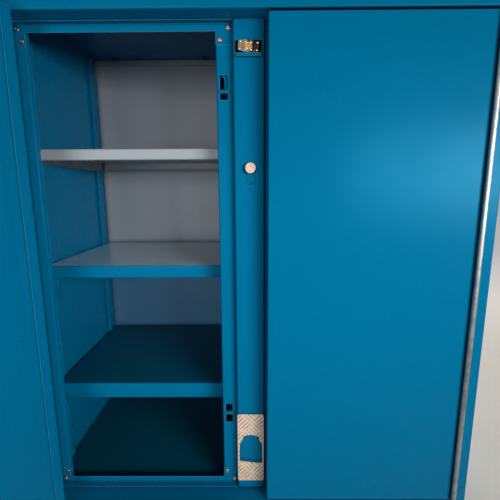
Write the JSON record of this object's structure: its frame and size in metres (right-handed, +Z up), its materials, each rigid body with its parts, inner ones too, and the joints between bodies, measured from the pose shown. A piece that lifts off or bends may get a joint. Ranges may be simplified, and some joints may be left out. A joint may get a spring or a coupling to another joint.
{
  "type": "jobsite storage cabinet",
  "caption": "Steel jobsite storage cabinet with hinged doors, a recessed lock post with a sliding lock bar and a padlock pocket, lipped shelves and skids for forks.",
  "frame": {"origin": "on the floor under the middle of the cabinet body, on the under face of the centre skid", "axes": "+Z up, +Y from the doors to the back wall, +X to the right for someone facing the doors"},
  "size_m": [1.3525, 1.1313, 1.524],
  "materials": {
    "blue_powder_coat": "gloss",
    "grey_powder_coat": "satin",
    "zinc_plated_steel": "satin",
    "tread_aluminium": "bright tread pattern",
    "turned_steel": "turned",
    "laminated_steel": "satin",
    "brass": "satin"
  },
  "bodies": {
    "cabinet": {"left_side_panel": "blue_powder_coat", "right_side_panel": "blue_powder_coat", "back_panel": "blue_powder_coat", "top_panel": "blue_powder_coat", "floor_panel": "blue_powder_coat", "left_skid": "blue_powder_coat", "centre_skid": "blue_powder_coat", "right_skid": "blue_powder_coat", "left_frame_top_rail": "blue_powder_coat", "right_frame_top_rail": "blue_powder_coat", "left_frame_bottom_rail": "blue_powder_coat", "right_frame_bottom_rail": "blue_powder_coat", "left_lock_stile": "blue_powder_coat", "right_lock_stile": "blue_powder_coat", "left_hinge_stile": "blue_powder_coat", "right_hinge_stile": "blue_powder_coat", "centre_post": "blue_powder_coat", "column_cover": "blue_powder_coat", "tread_plate": "tread_aluminium", "lower_bar_guide": "blue_powder_coat", "middle_bar_guide": "blue_powder_coat", "upper_bar_guide": "blue_powder_coat", "padlock_pocket": "blue_powder_coat", "padlock_staple": "blue_powder_coat", "padlock_shackle": "turned_steel", "left_body_hinge_leaf": "zinc_plated_steel", "right_body_hinge_leaf": "zinc_plated_steel", "left_hinge_pin": "zinc_plated_steel", "right_hinge_pin": "zinc_plated_steel", "left_front_standard": "blue_powder_coat", "left_rear_standard": "blue_powder_coat", "right_front_standard": "blue_powder_coat", "right_rear_standard": "blue_powder_coat", "upper_shelf": "grey_powder_coat", "middle_shelf": "blue_powder_coat", "lower_shelf": "blue_powder_coat", "lower_shelf_rail": "blue_powder_coat", "left_upper_shelf_bracket": "zinc_plated_steel", "right_upper_shelf_bracket": "zinc_plated_steel", "left_middle_shelf_bracket": "zinc_plated_steel", "right_middle_shelf_bracket": "zinc_plated_steel", "left_lower_shelf_bracket": "zinc_plated_steel", "right_lower_shelf_bracket": "zinc_plated_steel"},
    "left_door": {"left_door_pan": "blue_powder_coat", "left_door_liner": "blue_powder_coat", "left_door_hinge_leaf": "zinc_plated_steel", "left_door_upper_hook": "zinc_plated_steel", "left_door_lower_hook": "zinc_plated_steel"},
    "right_door": {"right_door_pan": "blue_powder_coat", "right_door_liner": "blue_powder_coat", "right_door_hinge_leaf": "zinc_plated_steel", "right_door_upper_hook": "zinc_plated_steel", "right_door_lower_hook": "zinc_plated_steel"},
    "lock_bar": {"lock_bar": "blue_powder_coat", "lock_knob": "turned_steel", "upper_lock_finger": "blue_powder_coat", "lower_lock_finger": "blue_powder_coat"},
    "padlock": {"padlock_body": "laminated_steel"},
    "plug": {"padlock_plug": "brass"}
  },
  "joints": [
    {"name": "left_door_hinge", "type": "hinge", "parent": "cabinet", "child": "left_door", "pos_m": [-0.571, -0.3118, 0.778], "axis": [0, 0, -1], "range_deg": [-110, 70]},
    {"name": "right_door_hinge", "type": "hinge", "parent": "cabinet", "child": "right_door", "pos_m": [0.571, -0.3118, 0.778], "axis": [0, 0, 1], "range_deg": [0, 180]},
    {"name": "lock_bar_slide", "type": "slide", "parent": "cabinet", "child": "lock_bar", "axis": [0, 0, -1], "range_m": [0, 0.028]},
    {"name": "padlock_slide", "type": "slide", "parent": "cabinet", "child": "padlock", "axis": [0, -1, 0], "range_m": [0, 0.01]},
    {"name": "plug_turn", "type": "hinge", "parent": "padlock", "child": "plug", "pos_m": [0, -0.2668, 1.35394], "axis": [0, 1, 0], "range_deg": [0, 90]}
  ]
}
